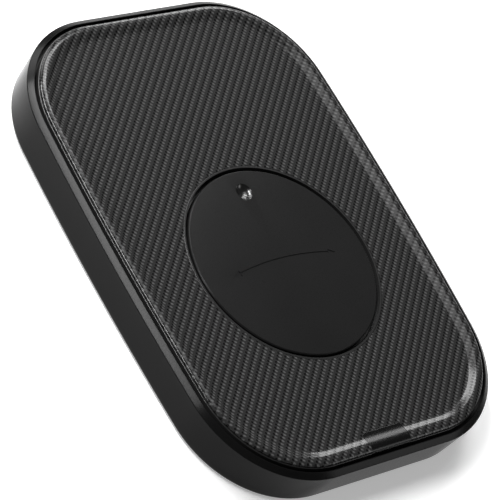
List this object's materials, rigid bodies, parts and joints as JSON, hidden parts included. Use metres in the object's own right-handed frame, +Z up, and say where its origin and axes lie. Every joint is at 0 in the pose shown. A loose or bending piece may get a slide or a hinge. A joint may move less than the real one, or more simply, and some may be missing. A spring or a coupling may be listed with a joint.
{
  "type": "mouse jiggler",
  "caption": "Slim rounded pad with a woven top and a flush motor-driven turntable that slowly turns under a resting mouse; geared flat motor, power switch and inlet at the back.",
  "frame": {"origin": "middle of the footprint, on the surface that the rubber feet stand on", "axes": "+X across the pad to the right, +Y along the pad from the indicator window (front) to the power inlet (back), +Z up"},
  "size_m": [0.085, 0.1172, 0.0117],
  "materials": {
    "black_shell": "fine satin, injection moulded",
    "panel_shell": "satin",
    "woven_skin": "twill weave with a slight sheen",
    "disc_satin": "smooth satin",
    "window_gloss": "polished, smoked",
    "gear_acetal": "moulded acetal",
    "washer_nylon": "smooth",
    "steel": "turned and plated",
    "can_steel": "drawn sheet, plated",
    "winding": "enamelled copper wire",
    "magnet": "sintered ferrite",
    "bronze": "turned",
    "board": "green solder mask",
    "chip_black": "moulded epoxy",
    "capacitor_can": "drawn can",
    "passives": "ceramic",
    "socket_cream": "moulded",
    "flat_lead": "polyimide film",
    "lamp": "clear epoxy over a white cup",
    "rubber": "moulded silicone"
  },
  "bodies": {
    "casing": {"base_tray": "black_shell", "top_panel": "panel_shell", "woven_skin": "woven_skin", "indicator_window": "window_gloss", "spindle_pin": "steel", "thrust_washer": "washer_nylon", "idler_pin": "steel", "idler_washer": "washer_nylon", "idler_clip": "steel", "motor_can": "can_steel", "motor_coil": "winding", "motor_bush": "bronze", "motor_plate": "can_steel", "motor_screws": "steel", "main_board": "board", "controller_chip": "chip_black", "driver_chip": "chip_black", "capacitors": "capacitor_can", "chip_passives": "passives", "ribbon_sockets": "socket_cream", "usb_socket": "can_steel", "usb_tongue": "chip_black", "switch_body": "can_steel", "motor_ribbon": "flat_lead", "indicator_ribbon": "flat_lead", "indicator_board": "board", "status_led": "lamp", "board_screws": "steel", "indicator_screws": "steel", "case_screws": "steel", "rubber_feet": "rubber"},
    "turntable": {"turntable_disc": "disc_satin", "turntable_gear": "gear_acetal", "disc_screws": "steel"},
    "idler": {"idler_gear": "gear_acetal"},
    "rotor": {"motor_shaft": "steel", "motor_magnet": "magnet", "motor_pinion": "bronze"},
    "power_slider": {"switch_knob": "black_shell"}
  },
  "joints": [
    {"name": "turntable_spin", "type": "hinge", "parent": "casing", "child": "turntable", "pos_m": [0, -0.00907, 0.01105], "axis": [0, 0, 1], "continuous": true},
    {"name": "idler_spin", "type": "hinge", "parent": "casing", "child": "idler", "pos_m": [0, 0.01243, 0], "axis": [0, 0, 1], "continuous": true},
    {"name": "rotor_spin", "type": "hinge", "parent": "casing", "child": "rotor", "pos_m": [0, 0.02543, 0], "axis": [0, 0, 1], "continuous": true},
    {"name": "power_switch", "type": "slide", "parent": "casing", "child": "power_slider", "axis": [1, 0, 0], "range_m": [0, 0.002]}
  ],
  "couplings": [
    {"joint": "idler_spin", "follows": "turntable_spin", "ratio": -5.1429},
    {"joint": "rotor_spin", "follows": "turntable_spin", "ratio": 17.143}
  ]
}
